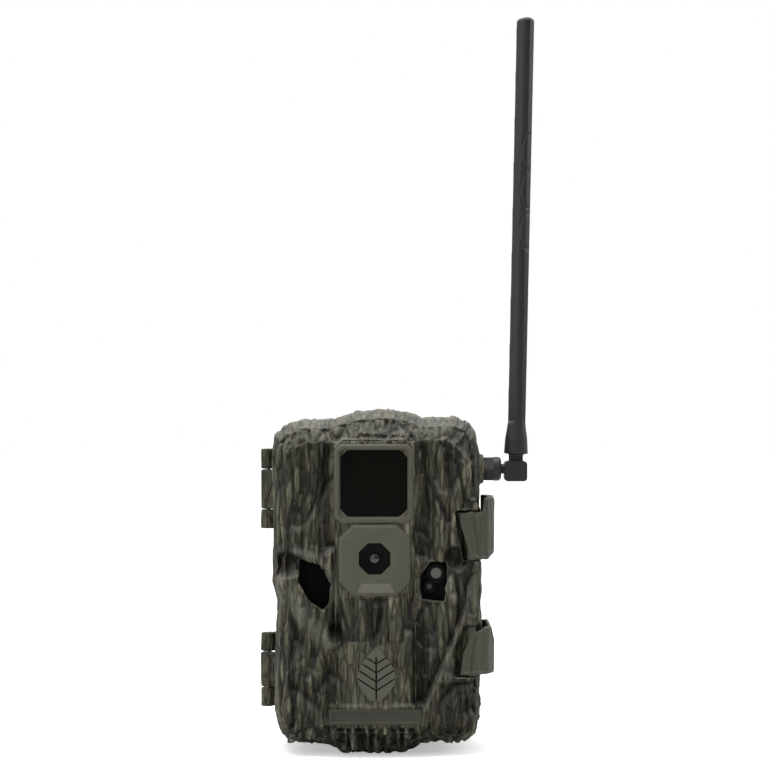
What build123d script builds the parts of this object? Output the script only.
from build123d import *
import os

os.makedirs("parts", exist_ok=True)

# ---------------------------------------------------------------------------
# Trail camera.  Millimetres, +Z up, front faces -Y, +X to the right seen from
# the front.  The origin is the mouth of the 1/4-20 socket in the bottom pad.
# ---------------------------------------------------------------------------

height = 143.6
half_width = 45.0
split_y = -15.0            # seam between the door (front half) and the rear half
seam_gap = 0.2
front_depth = 31.0         # seam to the middle of the front face
rear_depth = 31.0
wall = 3.2
side_share = 0.68          # how much less the sides round over than the top and bottom
front_y = split_y - front_depth
column_proud = 1.6         # how far the centre column stands out of the front
column_y = front_y - column_proud
rear_y = split_y + rear_depth

hinge_x = -45.6            # axis of the door hinge
knuckle_radius = 2.9
hinge_pin_radius = 1.2
running = 0.05             # radial clearance of a running fit

window_z = 113.5           # middle of the infrared window
lens_z = 82.0
lens_x = 0.3
badge_x = 1.0
badge_z = 34.4
plate_z = 17.0
pir_x = -24.5
pir_z = 71.5
light_x = 25.8
light_z = 76.0
status_x = 23.0
status_z = 70.4

antenna_z = 118.9
antenna_y = split_y - 14.0
tilt_x = 59.6              # the pin that the whip tilts on
tilt_z = 118.0
whip_top = 309.0
whip_lean = 1.26           # degrees, towards +X
tilt_pin_radius = 1.2
connector_radius = 3.2
connector_hole = 3.25

latch_pivot_x = 40.4
latch_pivot_y = split_y - 27.8
latch_pin_radius = 0.8

socket_radius = 2.6        # plain bore of a 1/4-20 insert
insert_length = 9.0

cell_radius = 7.15
cell_body = 49.2
cell_nub = 1.0
cell_pitch = 15.6
tray_low = 12.5
bay_length = 55.0
bay_gap = 2.5
tray_front = split_y + 5.0
tray_back = split_y + 22.0
cell_y = split_y + 12.2

panel_back = split_y - 1.2     # face of the control panel that the user sees
panel_thick = 2.0
board_y = split_y - 8.0        # back face of the main board
board_thick = 1.6

# Outline of the body seen from the front: (x, z), going round from bottom left.
body_outline = [
    (-36, 4.6), (-20, 3.6), (-12, 0), (13, 0), (20, 4.4), (38, 5), (42.8, 9), (44.4, 17),
    (44.6, 33), (45.2, 52), (45.2, 70), (44.8, 84), (44.6, 96), (44.6, 112), (44.4, 126),
    (42.4, 134.4), (39.6, 138.3), (35, 140.4), (20, 140.2), (14, 142.6), (4, 143.6),
    (-8, 142.9), (-17, 139.6), (-31, 139.2), (-38, 136.8), (-41.8, 133), (-42.4, 127),
    (-42.3, 104), (-42, 90), (-42.4, 80), (-42.3, 72), (-40.4, 64), (-41.2, 54),
    (-41.8, 46), (-41.6, 18), (-40.4, 12), (-38.6, 8),
]


def front_plane(y):
    """Plane facing the viewer at the given y; its axes are X and Z."""
    return Plane.XZ.offset(-y)


def top_plane(z):
    return Plane.XY.offset(z)


def side_plane(x):
    """Plane facing +X at the given x; its axes are Y and Z."""
    return Plane.YZ.offset(x)


def outline(inset):
    """The body's outline, drawn in by inset at top and bottom and a little less at the sides."""
    shrink_x = 1 - side_share * inset / half_width
    shrink_z = 1 - 2 * inset / height
    middle = height / 2
    return [(x * shrink_x, middle + (z - middle) * shrink_z) for x, z in body_outline]


def body_loft(sections, mode=Mode.ADD):
    """Straight-sided loft through body outlines given as (y, inset)."""
    faces = []
    for y, inset in sections:
        with BuildSketch(front_plane(y)) as section:
            Polygon(*outline(inset))
        faces.append(section.sketch.face())
    loft(faces, ruled=True, mode=mode)


def block(x, y, z, mode=Mode.ADD):
    """Box from three (low, high) pairs."""
    with Locations(((x[0] + x[1]) / 2, (y[0] + y[1]) / 2, (z[0] + z[1]) / 2)):
        Box(x[1] - x[0], y[1] - y[0], z[1] - z[0], mode=mode)


def post_y(x, z, radius, y_low, y_high, mode=Mode.ADD):
    """Round post along Y."""
    with BuildSketch(front_plane(y_high)) as section:
        with Locations((x, z)):
            Circle(radius)
    extrude(section.sketch, amount=y_high - y_low, mode=mode)


def post_z(x, y, radius, z_low, z_high, mode=Mode.ADD):
    """Round post along Z."""
    with BuildSketch(top_plane(z_low)) as section:
        with Locations((x, y)):
            Circle(radius)
    extrude(section.sketch, amount=z_high - z_low, mode=mode)


def post_x(y, z, radius, x_low, x_high, mode=Mode.ADD):
    """Round post along X."""
    with BuildSketch(side_plane(x_low)) as section:
        with Locations((y, z)):
            Circle(radius)
    extrude(section.sketch, amount=x_high - x_low, mode=mode)


def slab(points, y_low, y_high, mode=Mode.ADD):
    """Plate of the given (x, z) outline between two y values."""
    with BuildSketch(front_plane(y_high)) as section:
        Polygon(*points)
    extrude(section.sketch, amount=y_high - y_low, mode=mode)


def plan(points, z_low, z_high, mode=Mode.ADD):
    """Prism of the given (x, y) outline between two heights."""
    with BuildSketch(top_plane(z_low)) as section:
        Polygon(*points)
    extrude(section.sketch, amount=z_high - z_low, mode=mode)


def octagon(x, z, width, tall, chamfer_size):
    """Corners of a rectangle with cut corners, as (x, z) points."""
    w = width / 2
    h = tall / 2
    c = chamfer_size
    return [
        (x - w + c, z - h), (x + w - c, z - h), (x + w, z - h + c), (x + w, z + h - c),
        (x + w - c, z + h), (x - w + c, z + h), (x - w, z + h - c), (x - w, z - h + c),
    ]


def grow(points, factor):
    """The same outline made larger about its middle."""
    x_mid = sum(x for x, z in points) / len(points)
    z_mid = sum(z for x, z in points) / len(points)
    return [(x_mid + (x - x_mid) * factor, z_mid + (z - z_mid) * factor) for x, z in points]


def save(piece, label):
    piece.part.label = label
    export_step(piece.part, f"parts/{label}.step")


# Hinge: knuckles as (low z, high z), shared by turns between the two halves.
upper_rear_knuckles = [(93, 101), (118.5, 127)]
upper_front_knuckles = [(101.4, 118.1)]
lower_rear_knuckles = [(17, 25), (40.5, 48.5)]
lower_front_knuckles = [(25.4, 40.1)]
upper_hinge_span = (93.3, 126.7)
lower_hinge_span = (17.3, 48.2)


def knuckle(z_low, z_high, side):
    """Barrel round the hinge pin with a web to its half: side -1 front, +1 rear."""
    post_z(hinge_x, split_y, knuckle_radius, z_low, z_high)
    near = split_y + side * (seam_gap / 2 + 0.05)
    far = split_y + side * knuckle_radius
    block((hinge_x, -41), sorted((near, far)), (z_low, z_high))


# Latches: each sits in a pocket cut in the front right corner of the door.
upper_latch_face = [(34.4, 101.2), (40.2, 82.4), (47.2, 81.6), (50, 84), (51, 92), (51, 107),
                    (45.8, 107), (45, 101.4)]
lower_latch_face = [(35.8, 34), (51, 34), (50.4, 46), (49, 53.4), (46, 53.2), (40.4, 50.6),
                    (37, 43)]
upper_pocket = [(33.4, 102.3), (33.4, 99), (37.2, 81), (60, 81), (60, 102.3)]
lower_pocket = [(33.4, 33), (60, 33), (60, 54.4), (37.4, 54.4), (34, 46)]
latches = {"latch_upper": (upper_latch_face, upper_pocket, 81.0, 102.3),
           "latch_lower": (lower_latch_face, lower_pocket, 33.0, 54.4)}
pocket_floor = split_y - 21.6
pocket_left = 33.4
pin_overrun = 3.0

# ---------------------------------------------------------------------------
# Front half: the door, with its windows, electronics and controls
# ---------------------------------------------------------------------------

window_cut = 27.6
lens_plate = 29.6
left_hole = [(-31, 82.4), (-31.2, 72), (-27, 64.5), (-21, 60.6), (-18.6, 64), (-17.8, 72), (-22, 79.5)]
right_hole = [(19.2, 65.4), (29.2, 64.2), (30.3, 72), (30.3, 81), (23.4, 81), (19, 75)]
hole_floor = front_y + 6.5

with BuildPart() as front_housing:
    front_sections = [(0, 0), (20, 0), (26.5, 3.2), (front_depth, 9.5)]
    body_loft([(split_y - seam_gap / 2 - depth, inset) for depth, inset in front_sections])
    # proud centre column carrying the window, the lens and the badge
    slab([(-16, 26), (-18, 10), (19, 10), (17.5, 26), (17, 128), (14, 132), (-13, 132), (-16.5, 128)],
         column_y, front_y + 6)
    body_loft([(split_y, wall), (split_y - 19, wall), (split_y - 28, wall + 6)], mode=Mode.SUBTRACT)
    # walls round the knot holes
    for hole in (left_hole, right_hole):
        slab(grow(hole, 1.15), front_y + 2.6, hole_floor)
    # inner ledges under the latch pockets
    for face, pocket, low, high in latches.values():
        block((pocket_left - 2.4, 43), (pocket_floor - 1, pocket_floor + 2.4), (low - 2.4, high + 2.4))
        block((pocket_left - 2.4, pocket_left), (front_y + 3, pocket_floor), (low - 2.4, high + 2.4))
    for z_low, z_high in upper_front_knuckles + lower_front_knuckles:
        knuckle(z_low, z_high, -1)
    # pockets for the latches, with blocks that hold their pins
    for face, pocket, low, high in latches.values():
        for z_low, z_high in ((low - 4.4, low), (high, high + 4.4)):
            block((latch_pivot_x - 3.4, latch_pivot_x + 2.6), (latch_pivot_y - 2.4, pocket_floor + 2),
                  (z_low, z_high))
        slab(pocket, front_y - 6, pocket_floor, mode=Mode.SUBTRACT)
        post_z(latch_pivot_x, latch_pivot_y, latch_pin_radius, low - pin_overrun,
               high + pin_overrun, mode=Mode.SUBTRACT)
    # square window frame and its opening
    slab(octagon(0, window_z, window_cut, window_cut, 3), front_y - 6, split_y - 20, mode=Mode.SUBTRACT)
    # lens opening
    post_y(lens_x, lens_z, 8.4, front_y - 6, split_y - 20, mode=Mode.SUBTRACT)
    # knot holes
    slab(left_hole, front_y - 6, hole_floor, mode=Mode.SUBTRACT)
    slab(right_hole, front_y - 6, hole_floor, mode=Mode.SUBTRACT)
    # bore for the hinge pin
    post_z(hinge_x, split_y, hinge_pin_radius + running, 15, 130, mode=Mode.SUBTRACT)
    # boss and hole for the antenna connector
    post_x(antenna_y, antenna_z, 6, 40, 46)
    post_x(antenna_y, antenna_z, connector_hole, 36, 48, mode=Mode.SUBTRACT)
save(front_housing, "front_housing")

with BuildPart() as led_bezel:
    slab(octagon(0, window_z, 33, 33, 2.4), column_y - 1, column_y)
    slab(octagon(0, window_z, window_cut, window_cut, 3), front_y - 4, front_y, mode=Mode.SUBTRACT)
save(led_bezel, "led_bezel")

with BuildPart() as led_window:
    slab(octagon(0, window_z, window_cut - 0.2, window_cut - 0.2, 3), front_y + 0.2, front_y + 2.2)
save(led_window, "led_window")

led_board_y = front_y + 8.4
with BuildPart() as led_board:
    block((-15, 15), (led_board_y, led_board_y + 1.6), (window_z - 15, window_z + 15))
save(led_board, "led_board")

led_pitch = 4.2
led_count = 6              # in each row and each column
with BuildPart() as ir_leds:
    with BuildSketch(front_plane(led_board_y)):
        with Locations((0, window_z)):
            with GridLocations(led_pitch, led_pitch, led_count, led_count):
                Circle(1.5)
    extrude(amount=4.6)
    fillet(ir_leds.faces().sort_by(Axis.Y)[:led_count ** 2].edges(), radius=1.3)
save(ir_leds, "ir_leds")

with BuildPart() as lens_bezel:
    with BuildSketch(front_plane(column_y)):
        Polygon(*octagon(lens_x, lens_z, lens_plate, lens_plate, 5.8))
    extrude(amount=3.4, taper=14)
    slab(octagon(lens_x, lens_z + 0.5, 13.2, 12.6, 3), front_y - 8, front_y, mode=Mode.SUBTRACT)
save(lens_bezel, "lens_bezel")

with BuildPart() as lens_window:
    post_y(lens_x, lens_z, 8.2, front_y - 1.4, front_y + 0.2)
save(lens_window, "lens_window")

sensor_face_y = split_y - 11.6
holder_front_y = split_y - 19
with BuildPart() as lens_barrel:
    post_y(lens_x, lens_z, 7, holder_front_y - 8.5, holder_front_y)
    post_y(lens_x, lens_z, 5.2, holder_front_y - 9, holder_front_y + 1, mode=Mode.SUBTRACT)
save(lens_barrel, "lens_barrel")

element_y = [holder_front_y + shift for shift in (-8, -5, -2)]
with BuildPart() as lens_elements:
    for y in element_y:
        post_y(lens_x, lens_z, 5.15, y, y + 1.4)
    for y in element_y:
        fillet(lens_elements.edges().filter_by_position(Axis.Y, y - 0.1, y + 0.1), radius=1.0)
save(lens_elements, "lens_elements")

filter_travel = 6.5
filter_half = 4.9
filter_room = filter_half + filter_travel + 1.2
with BuildPart() as lens_holder:
    block((lens_x - 14, lens_x + 14), (holder_front_y, sensor_face_y), (lens_z - 9, lens_z + 9))
    post_y(lens_x, lens_z, 5, holder_front_y - 1, sensor_face_y + 1, mode=Mode.SUBTRACT)
    block((lens_x - filter_room, lens_x + filter_room), (split_y - 16.6, sensor_face_y + 1),
          (lens_z - 5.6, lens_z + 5.6), mode=Mode.SUBTRACT)
save(lens_holder, "lens_holder")

with BuildPart() as ir_filter_frame:
    block((lens_x - filter_half, lens_x + filter_half), (split_y - 16.2, split_y - 14.8), (lens_z - 5.3, lens_z + 5.3))
    block((lens_x - 3.4, lens_x + 3.4), (split_y - 17, split_y - 14), (lens_z - 3.6, lens_z + 3.6),
          mode=Mode.SUBTRACT)
save(ir_filter_frame, "ir_filter_frame")

with BuildPart() as ir_filter_glass:
    block((lens_x - 3.4, lens_x + 3.4), (split_y - 15.9, split_y - 15.1), (lens_z - 3.6, lens_z + 3.6))
save(ir_filter_glass, "ir_filter_glass")

with BuildPart() as image_sensor:
    block((lens_x - 3.6, lens_x + 3.6), (sensor_face_y - 1, sensor_face_y), (lens_z - 3, lens_z + 3))
save(image_sensor, "image_sensor")

with BuildPart() as camera_board:
    block((lens_x - 15, lens_x + 15), (sensor_face_y, sensor_face_y + 1.2), (lens_z - 13, lens_z + 13))
save(camera_board, "camera_board")

with BuildPart() as pir_window:
    slab([(-31.6, 83), (-31.8, 71.8), (-27.2, 63.8), (-20.6, 59.8), (-17.8, 63.6), (-17, 72), (-21.8, 80.4)],
         hole_floor, hole_floor + 1.4)
save(pir_window, "pir_window")

with BuildPart() as pir_sensor:
    post_y(pir_x, pir_z, 4.6, hole_floor + 5, hole_floor + 9.5)
    post_y(pir_x, pir_z, 5.2, hole_floor + 9, hole_floor + 9.8)
    block((pir_x - 2.4, pir_x + 2.4), (hole_floor + 4, hole_floor + 5.4), (pir_z - 2, pir_z + 2),
          mode=Mode.SUBTRACT)
save(pir_sensor, "pir_sensor")

with BuildPart() as sensor_insert:
    slab([(18.6, 64.8), (29.8, 63.6), (30.8, 72), (30.8, 81.4), (24.2, 80.8), (19.6, 75)],
         hole_floor, hole_floor + 1.4)
    post_y(light_x, light_z, 4, hole_floor - 3, hole_floor)
    post_y(light_x, light_z, 2.7, hole_floor - 4, hole_floor - 0.6, mode=Mode.SUBTRACT)
    post_y(status_x, status_z, 2.6, hole_floor - 2.4, hole_floor)
    post_y(status_x, status_z, 1.6, hole_floor - 4, hole_floor - 0.6, mode=Mode.SUBTRACT)
save(sensor_insert, "sensor_insert")

with BuildPart() as light_sensor:
    post_y(light_x, light_z, 2.6, hole_floor - 2.2, hole_floor - 0.6)
    fillet(light_sensor.faces().sort_by(Axis.Y)[0].edges(), radius=0.8)
save(light_sensor, "light_sensor")

with BuildPart() as status_light:
    post_y(status_x, status_z, 1.5, hole_floor - 1.8, hole_floor - 0.6)
    fillet(status_light.faces().sort_by(Axis.Y)[0].edges(), radius=0.6)
save(status_light, "status_light")

badge_radius = 11.0
badge_thick = 0.8
with BuildPart() as emblem_badge:
    post_y(badge_x, badge_z, badge_radius, column_y - badge_thick, column_y)
save(emblem_badge, "emblem_badge")

with BuildPart() as nameplate:
    block((-18.2, 19.6), (column_y - 1, column_y), (plate_z - 3.1, plate_z + 3.1))
    fillet(nameplate.edges().filter_by(Axis.Y), radius=0.8)
save(nameplate, "nameplate")

# ---- electronics on the main board ---------------------------------------

board_front = board_y - board_thick
with BuildPart() as main_board:
    slab([(-33, 14), (33, 14), (35, 20), (35, 122), (30, 130), (-30, 130), (-35, 122), (-35, 20)],
         board_front, board_y)
    for x, z in ((-30, 18), (30, 18), (-30, 126), (28, 127)):
        post_y(x, z, 1.6, board_front - 1, board_y + 1, mode=Mode.SUBTRACT)
save(main_board, "main_board")

with BuildPart() as modem_module:
    block((-13, 17), (board_front - 2.6, board_front), (24, 54))
    fillet(modem_module.edges().filter_by(Axis.Y), radius=0.8)
save(modem_module, "modem_module")


def make_slot(low_x, low_z, card_width, card_thick, length, face_y):
    """Metal card socket against the board, open at the bottom."""
    x = (low_x - 1.2, low_x + card_width + 1.2)
    y = (face_y, face_y + card_thick + 1.2)
    block(x, y, (low_z, low_z + length))
    block((low_x - 0.15, low_x + card_width + 0.15), (y[0] + 0.45, y[1] - 0.45),
          (low_z - 1, low_z + length - 1), mode=Mode.SUBTRACT)


card_x = -32.0
card_z = 44.0
card_top = card_z + 32
card_width = 24.0
card_thick = 2.1
sim_x = -4.0
sim_width = 12.0
sim_thick = 0.8
with BuildPart() as sd_slot:
    make_slot(card_x, card_z + 4, card_width, card_thick, 29.4, board_y)
save(sd_slot, "sd_slot")

card_y = board_y + 0.6
with BuildPart() as sd_card:
    slab([(card_x, card_z), (card_x + card_width, card_z), (card_x + card_width, card_top),
          (card_x + 4, card_top), (card_x, card_top - 4)], card_y, card_y + card_thick)
    block((card_x + 3, card_x + card_width - 3), (card_y + card_thick - 0.3, card_y + card_thick + 1),
          (card_z + 2.5, card_z + 3.3), mode=Mode.SUBTRACT)
save(sd_card, "sd_card")

with BuildPart() as sim_holder:
    make_slot(sim_x, 47.0, sim_width, sim_thick, 14.6, board_y)
save(sim_holder, "sim_holder")

# ---- control panel --------------------------------------------------------

key_x = 16.0
key_z = 66.0
key_reach = 8.2
keys = {
    "button_ok": (key_x, key_z, 3.6), "button_up": (key_x, key_z + key_reach, 2.8),
    "button_down": (key_x, key_z - key_reach, 2.8), "button_left": (key_x - key_reach, key_z, 2.8),
    "button_right": (key_x + key_reach, key_z, 2.8),
}
panel_holes = [(-32.6, 13.5), (33, 20), (-33, 124), (31, 126)]
slider_z = 34.0
slider_x = 13.0
slider_travel = 6.0
screen_z = 106.0
pogo_x = (-2.5, 0, 2.5)
pogo_z = 21.0
panel_front = panel_back - panel_thick

with BuildPart() as control_panel:
    slab([(-35, 11), (35, 11), (37.4, 16), (37.4, 126), (33, 133.5), (-31, 133.5), (-36.4, 128), (-36.4, 16)],
         panel_front, panel_back)
    # stiffening rim on the hidden side
    block((-30, 30), (panel_front - 3.4, panel_front), (13, 14.2))
    # window for the screen
    block((-21, 21), (panel_front - 1, panel_back + 1), (screen_z - 14, screen_z + 14), mode=Mode.SUBTRACT)
    # bays where fingers reach the memory card and the SIM card
    block((card_x - 1.5, card_x + card_width + 1.5), (panel_front - 4, panel_back + 1), (16, 50),
          mode=Mode.SUBTRACT)
    block((sim_x - 1.5, sim_x + sim_width + 1.5), (panel_front - 4, panel_back + 1), (24, 50),
          mode=Mode.SUBTRACT)
    for x, z, radius in keys.values():
        post_y(x, z, radius + 0.3, panel_front - 1, panel_back + 1, mode=Mode.SUBTRACT)
    for x in pogo_x:
        post_y(x, pogo_z, 0.9, panel_front - 4, panel_back + 1, mode=Mode.SUBTRACT)
    # slot for the power slider
    block((slider_x - 2.2, slider_x + slider_travel + 2.2), (panel_front - 1, panel_back + 1),
          (slider_z - 1.9, slider_z + 1.9), mode=Mode.SUBTRACT)
    for x, z in panel_holes:
        post_y(x, z, 1.5, panel_front - 1, panel_back + 1, mode=Mode.SUBTRACT)
    fillet(control_panel.faces().sort_by(Axis.Y)[-1].outer_wire().edges(), radius=0.6)
save(control_panel, "control_panel")

with BuildPart() as panel_screws:
    for x, z in panel_holes:
        post_y(x, z, 2.2, panel_back, panel_back + 0.9)
        post_y(x, z, 1.45, panel_back - 6, panel_back)
        block((x - 1.6, x + 1.6), (panel_back + 0.4, panel_back + 1.2), (z - 0.3, z + 0.3),
              mode=Mode.SUBTRACT)
        block((x - 0.3, x + 0.3), (panel_back + 0.4, panel_back + 1.2), (z - 1.6, z + 1.6),
              mode=Mode.SUBTRACT)
save(panel_screws, "panel_screws")

with BuildPart() as lcd_module:
    block((-23, 23), (board_y + 0.4, panel_front - 0.2), (screen_z - 16, screen_z + 16))
save(lcd_module, "lcd_module")

with BuildPart() as lcd_window:
    block((-20.9, 20.9), (panel_front - 0.1, panel_back - 0.5), (screen_z - 13.9, screen_z + 13.9))
save(lcd_window, "lcd_window")

key_stroke = 0.8
for name, (x, z, radius) in keys.items():
    with BuildPart() as key:
        post_y(x, z, radius, panel_front, panel_back + 1.4)
        fillet(key.faces().sort_by(Axis.Y)[-1].edges(), radius=0.5)
        post_y(x, z, 1.4, board_y + 1.4 + key_stroke, panel_front)
    save(key, name)

with BuildPart() as dome_switches:
    for x, z, radius in keys.values():
        block((x - 2.6, x + 2.6), (board_y, board_y + 0.8), (z - 2.6, z + 2.6))
        post_y(x, z, 1.6, board_y + 0.8, board_y + 1.3)
save(dome_switches, "dome_switches")

with BuildPart() as power_slider:
    block((slider_x - 1.9, slider_x + 1.9), (panel_front - 0.2, panel_back + 1.5),
          (slider_z - 1.6, slider_z + 1.6))
    for shift in (-1, 0, 1):
        block((slider_x + shift - 0.2, slider_x + shift + 0.2), (panel_back + 1.1, panel_back + 2),
              (slider_z - 2, slider_z + 2), mode=Mode.SUBTRACT)
    block((slider_x - 0.9, slider_x + 0.9), (board_y + 2.6, panel_front), (slider_z - 0.8, slider_z + 0.8))
save(power_slider, "power_slider")

with BuildPart() as power_switch:
    block((slider_x - 4, slider_x + slider_travel + 4), (board_y, board_y + 3.2),
          (slider_z - 2.6, slider_z + 2.6))
    block((slider_x - 1.3, slider_x + slider_travel + 1.3), (board_y + 1.6, board_y + 4),
          (slider_z - 1.2, slider_z + 1.2), mode=Mode.SUBTRACT)
save(power_switch, "power_switch")

with BuildPart() as pogo_pins:
    for x in pogo_x:
        post_y(x, pogo_z, 0.6, board_y, split_y + 2.2)
save(pogo_pins, "pogo_pins")

# ---- latches and their pins ------------------------------------------------

hook_gap = 0.25
ridge_reach = 45.5
latch_section = [
    (34.4, -28.6), (36.2, -30.4), (43, -29.8), (47.6, -26.6), (50.2, -21), (50.8, 2), (50, 6.6),
    (48.6, 7.4), (ridge_reach + hook_gap, 7), (ridge_reach + hook_gap, 4.2), (47.6, 3.2),
    (47.6, -18.5), (45.2, -23.2), (42, -25.4), (35.2, -26.4),
]

for name, (face, pocket, low, high) in latches.items():
    face_low = min(z for x, z in face)
    face_high = max(z for x, z in face)
    with BuildPart() as latch:
        plan([(x, split_y + y) for x, y in latch_section], face_low, face_high)
        with BuildSketch(front_plane(split_y + 20)):
            Polygon(*face)
        extrude(amount=60, mode=Mode.INTERSECT)
        post_z(latch_pivot_x, latch_pivot_y, 1.9, low + 0.5, high - 0.5)
        post_z(latch_pivot_x, latch_pivot_y, latch_pin_radius + running, low - 1, high + 1,
               mode=Mode.SUBTRACT)
    save(latch, name)

with BuildPart() as latch_pins:
    for face, pocket, low, high in latches.values():
        post_z(latch_pivot_x, latch_pivot_y, latch_pin_radius, low - pin_overrun, high + pin_overrun)
save(latch_pins, "latch_pins")

# ---- antenna ---------------------------------------------------------------

with BuildPart() as sma_jack:
    post_x(antenna_y, antenna_z, connector_radius, 38.5, 51)
    post_x(antenna_y, antenna_z, 5.4, 37.4, 38.6)
    post_x(antenna_y, antenna_z, 2.2, 46, 52, mode=Mode.SUBTRACT)
save(sma_jack, "sma_jack")

nut_low = 46.2
nut_high = 53.4
with BuildPart() as antenna_nut:
    with BuildSketch(side_plane(nut_low)):
        with Locations((antenna_y, antenna_z)):
            RegularPolygon(5.5, 6)
    extrude(amount=4)
    post_x(antenna_y, antenna_z, 5.05, nut_low + 4, nut_high)
    chamfer(antenna_nut.faces().sort_by(Axis.X)[-1].edges(), length=0.8)
    post_x(antenna_y, antenna_z, connector_hole, nut_low - 1, 51.1, mode=Mode.SUBTRACT)
    post_x(antenna_y, antenna_z, 2.15, 51, nut_high + 1, mode=Mode.SUBTRACT)
save(antenna_nut, "antenna_nut")

fork_left = 54.8
fork_right = 64.3
tongue_half = 2.0
fork_low = 113.8
fork_high = 122.2
with BuildPart() as antenna_base:
    block((fork_left, fork_right), (antenna_y - 4.5, antenna_y + 4.5), (fork_low, fork_high))
    fillet(antenna_base.edges().filter_by(Axis.Y), radius=1.4)
    post_x(antenna_y, antenna_z, 2.1, 50, fork_left + 0.5)
    block((55.9, fork_right + 2), (antenna_y - tongue_half - 0.1, antenna_y + tongue_half + 0.1), (110, 126),
          mode=Mode.SUBTRACT)
    post_y(tilt_x, tilt_z, tilt_pin_radius, antenna_y - 6, antenna_y + 6, mode=Mode.SUBTRACT)
save(antenna_base, "antenna_base")

with BuildPart() as antenna_pin:
    post_y(tilt_x, tilt_z, tilt_pin_radius, antenna_y - 4.6, antenna_y + 4.6)
save(antenna_pin, "antenna_pin")

whip_plane = Plane(origin=(tilt_x, antenna_y, tilt_z), x_dir=(1, 0, 0), z_dir=(0, 0, 1))
whip_length = whip_top - tilt_z
stem_half = 3.7
with BuildPart() as antenna_whip:
    post_y(tilt_x, tilt_z, 3.5, antenna_y - tongue_half, antenna_y + tongue_half)
    block((tilt_x - 2.95, tilt_x + 2.95), (antenna_y - tongue_half, antenna_y + tongue_half),
          (tilt_z, tilt_z + 7.4))
    with BuildSketch(whip_plane.offset(7.2)):
        Circle(5.1)
    with BuildSketch(whip_plane.offset(13.5)):
        Circle(4.7)
    with BuildSketch(whip_plane.offset(20.5)):
        Circle(3.7)
    loft(ruled=True)
    with BuildSketch(whip_plane.offset(19.5)):
        Polygon((-stem_half, 1.2), (-0.8, -stem_half), (1.6, -stem_half), (stem_half, -1.4),
                (stem_half, 2), (0.6, stem_half), (-2.4, stem_half))
    extrude(amount=whip_length - 19.5)
    chamfer(antenna_whip.faces().sort_by(Axis.Z)[-1].edges(), length=1.2)
    post_y(tilt_x, tilt_z, tilt_pin_radius + running, antenna_y - 6, antenna_y + 6, mode=Mode.SUBTRACT)
whip_turn = Axis((tilt_x, antenna_y, tilt_z), (0, 1, 0))
antenna_whip.part = antenna_whip.part.rotate(whip_turn, whip_lean)
save(antenna_whip, "antenna_whip")

# ---------------------------------------------------------------------------
# Rear half: housing, batteries, sockets and the bracket for the tree
# ---------------------------------------------------------------------------

bracket_holes = [(-14, 34), (14, 34), (-14, 112), (14, 112)]
tray_holes = [(-36, 30), (36, 30), (-36, 112), (36, 112)]
jack_x = -27.0
jack_y = split_y + 12
with BuildPart() as rear_housing:
    body_loft([(split_y, 0), (split_y + 22, 0), (split_y + 27.5, 4), (rear_y, 10)])
    body_loft([(split_y - 1, wall), (split_y + 21, wall), (rear_y - 3, wall + 5.5)], mode=Mode.SUBTRACT)
    for z_low, z_high in upper_rear_knuckles + lower_rear_knuckles:
        knuckle(z_low, z_high, 1)
    post_z(hinge_x, split_y, hinge_pin_radius, 15, 130, mode=Mode.SUBTRACT)
    # ridges that the latch hooks reach behind
    for face, pocket, low, high in latches.values():
        block((43, ridge_reach), (split_y + 0.6, split_y + 3.6), (low + 2, high - 1))
    # boss round the bottom socket
    post_z(0, 0, 7.5, 0, insert_length + 1.6)
    post_z(0, 0, 4.5, -1, insert_length, mode=Mode.SUBTRACT)
    # screw bosses
    for x, z in bracket_holes:
        post_y(x, z, 4, rear_y - 8, rear_y - 2)
        post_y(x, z, 1.5, rear_y - 7, rear_y + 1, mode=Mode.SUBTRACT)
    for x, z in tray_holes:
        post_y(x, z, 2.6, split_y + 10, rear_y - 3)
        post_y(x, z, 1.2, split_y + 9, split_y + 20, mode=Mode.SUBTRACT)
    # power inlet in the bottom wall
    block((jack_x - 5.6, jack_x + 5.6), (jack_y - 5.6, jack_y + 5.6), (3.4, 8.6))
    post_z(jack_x, jack_y, 4.1, -1, 12, mode=Mode.SUBTRACT)
    # groove for the door seal
    with BuildSketch(front_plane(split_y + 1.4)):
        Polygon(*outline(1.1))
        Polygon(*outline(2.3), mode=Mode.SUBTRACT)
    extrude(amount=3, mode=Mode.SUBTRACT)
save(rear_housing, "rear_housing")

with BuildPart() as door_gasket:
    with BuildSketch(front_plane(split_y + 1.4)):
        Polygon(*outline(1.15))
        Polygon(*outline(2.25), mode=Mode.SUBTRACT)
    extrude(amount=1.4)
save(door_gasket, "door_gasket")

with BuildPart() as hinge_pins:
    for z_low, z_high in (upper_hinge_span, lower_hinge_span):
        post_z(hinge_x, split_y, hinge_pin_radius, z_low, z_high)
save(hinge_pins, "hinge_pins")

columns = [(index - 1.5) * cell_pitch for index in range(4)]
bay_starts = [tray_low + 2, tray_low + 2 + bay_length + bay_gap]
tray_half = 2 * cell_pitch + 1.6
tray_high = bay_starts[1] + bay_length + 2
with BuildPart() as battery_tray:
    block((-tray_half, tray_half), (tray_front, tray_back), (tray_low, tray_high))
    for start in bay_starts:
        for x in columns:
            block((x - 7.3, x + 7.3), (tray_front - 1, cell_y), (start, start + bay_length),
                  mode=Mode.SUBTRACT)
            post_z(x, cell_y, 7.3, start, start + bay_length, mode=Mode.SUBTRACT)
    for x, z in tray_holes:
        block((min(x, 0.9 * x), max(x, 0.9 * x)), (split_y + 7, split_y + 9.6), (z - 4, z + 4))
        post_y(x, z, 2.6, split_y + 7, split_y + 9.6)
        post_y(x, z, 1.5, split_y + 6, split_y + 10, mode=Mode.SUBTRACT)
save(battery_tray, "battery_tray")

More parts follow.
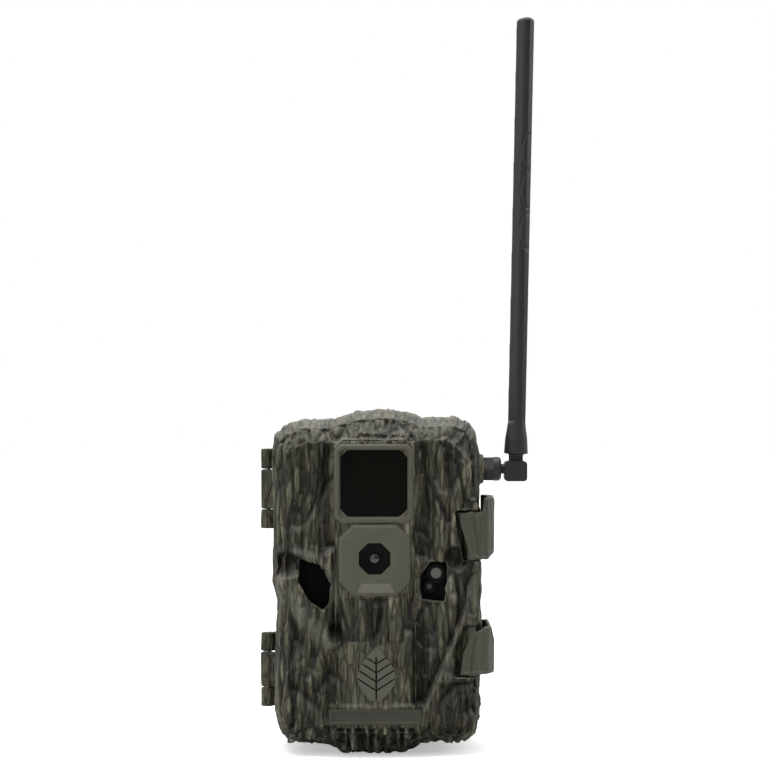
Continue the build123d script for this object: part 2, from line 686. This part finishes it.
with BuildPart() as tray_screws:
    for x, z in tray_holes:
        post_y(x, z, 2.4, split_y + 5.6, split_y + 7)
        post_y(x, z, 1.15, split_y + 7, split_y + 17)
save(tray_screws, "tray_screws")

cell_low = 3.0
with BuildPart() as aa_cells:
    for row, start in enumerate(bay_starts):
        for column, x in enumerate(columns):
            up = (row + column) % 2 == 0
            body_low = start + (cell_low if up else cell_low + cell_nub)
            nub_low = body_low + cell_body if up else body_low - cell_nub
            post_z(x, cell_y, cell_radius, body_low, body_low + cell_body)
            post_z(x, cell_y, 2.7, nub_low, nub_low + cell_nub)
save(aa_cells, "aa_cells")

with BuildPart() as battery_contacts:
    for row, start in enumerate(bay_starts):
        for column, x in enumerate(columns):
            up = (row + column) % 2 == 0
            base = start if up else start + bay_length
            side = 1 if up else -1
            gap = cell_low if up else bay_length - cell_low - cell_body - cell_nub
            leaf = [(x - 4.5, base), (x + 4.5, base), (x + 4.5, base + side * 0.5),
                    (x - 1, base + side * 0.5), (x + 2, base + side * gap),
                    (x - 2, base + side * gap), (x - 4.5, base + side * 0.5)]
            slab(leaf, cell_y - 3, cell_y + 3)
            plate_low = start + bay_length - 1.7 if up else start
            block((x - 5, x + 5), (cell_y - 5, cell_y + 4), (plate_low, plate_low + 1.6))
save(battery_contacts, "battery_contacts")

pad_film = 0.05
with BuildPart() as contact_pads:
    for x in pogo_x:
        post_y(x, pogo_z, 1.1, tray_front - 2.6, tray_front - pad_film)
    block((-5, 5), (tray_front - pad_film, tray_front), (pogo_z - 3, pogo_z + 3))
save(contact_pads, "contact_pads")

bracket_base = 2.5
rib_back = rear_y + 13.5
socket_mouth = rear_y + bracket_base + insert_length
rib_x = 22.5
strap_slot = 5.2
strap_tall = 28.0
strap_z = (100.0, 44.0)
socket_z = 72.0
with BuildPart() as strap_bracket:
    block((-27, 27), (rear_y, rear_y + bracket_base), (25, 121))
    for side in (-1, 1):
        with BuildSketch(side_plane(side * rib_x - 2.4)):
            with BuildLine():
                tooth_points = [(rear_y + 1, 27), (rear_y + 8, 27)]
                for index in range(11):
                    base = 29 + 8 * index
                    tooth_points += [(rib_back, base + 1.5), (rib_back - 2.6, base + 6.5)]
                tooth_points += [(rear_y + 8, 119), (rear_y + 1, 119)]
                Polyline(*tooth_points, close=True)
            make_face()
        extrude(amount=4.8)
    for z in strap_z:
        block((-40, 40), (rear_y + bracket_base, rear_y + bracket_base + strap_slot),
              (z - strap_tall / 2, z + strap_tall / 2), mode=Mode.SUBTRACT)
    post_y(0, socket_z, 8, rear_y + 1, socket_mouth)
    for z in (socket_z - 5, socket_z + 5):
        block((-rib_x, rib_x), (rear_y + 1, rear_y + 9), (z - 1.2, z + 1.2))
    post_y(0, socket_z, 4.5, rear_y + bracket_base, socket_mouth + 1, mode=Mode.SUBTRACT)
    for x, z in bracket_holes:
        post_y(x, z, 1.7, rear_y - 1, rear_y + 4, mode=Mode.SUBTRACT)
save(strap_bracket, "strap_bracket")

with BuildPart() as bracket_screws:
    for x, z in bracket_holes:
        post_y(x, z, 3, rear_y + bracket_base, rear_y + bracket_base + 1.8)
        post_y(x, z, 1.45, rear_y - 6, rear_y + bracket_base)
        block((x - 2, x + 2), (rear_y + bracket_base + 0.9, rear_y + bracket_base + 3), (z - 0.35, z + 0.35),
              mode=Mode.SUBTRACT)
        block((x - 0.35, x + 0.35), (rear_y + bracket_base + 0.9, rear_y + bracket_base + 3), (z - 2, z + 2),
              mode=Mode.SUBTRACT)
save(bracket_screws, "bracket_screws")

with BuildPart() as tripod_inserts:
    post_z(0, 0, 4.45, 0, insert_length)
    post_z(0, 0, socket_radius, -1, insert_length + 1, mode=Mode.SUBTRACT)
    post_y(0, socket_z, 4.45, rear_y + bracket_base, socket_mouth)
    post_y(0, socket_z, socket_radius, rear_y, socket_mouth + 1, mode=Mode.SUBTRACT)
save(tripod_inserts, "tripod_inserts")

with BuildPart() as dc_jack:
    post_z(jack_x, jack_y, 4.05, 5, 11)
    post_z(jack_x, jack_y, 2.8, 4, 10, mode=Mode.SUBTRACT)
    post_z(jack_x, jack_y, 0.9, 5.6, 10)
save(dc_jack, "dc_jack")

with BuildPart() as dc_plug:
    post_z(jack_x, jack_y, 5.2, 2.2, 3.3)
    post_z(jack_x, jack_y, 2.7, 3.3, 8)
    post_z(jack_x, jack_y, 1.0, 3.3, 9, mode=Mode.SUBTRACT)
save(dc_plug, "dc_plug")
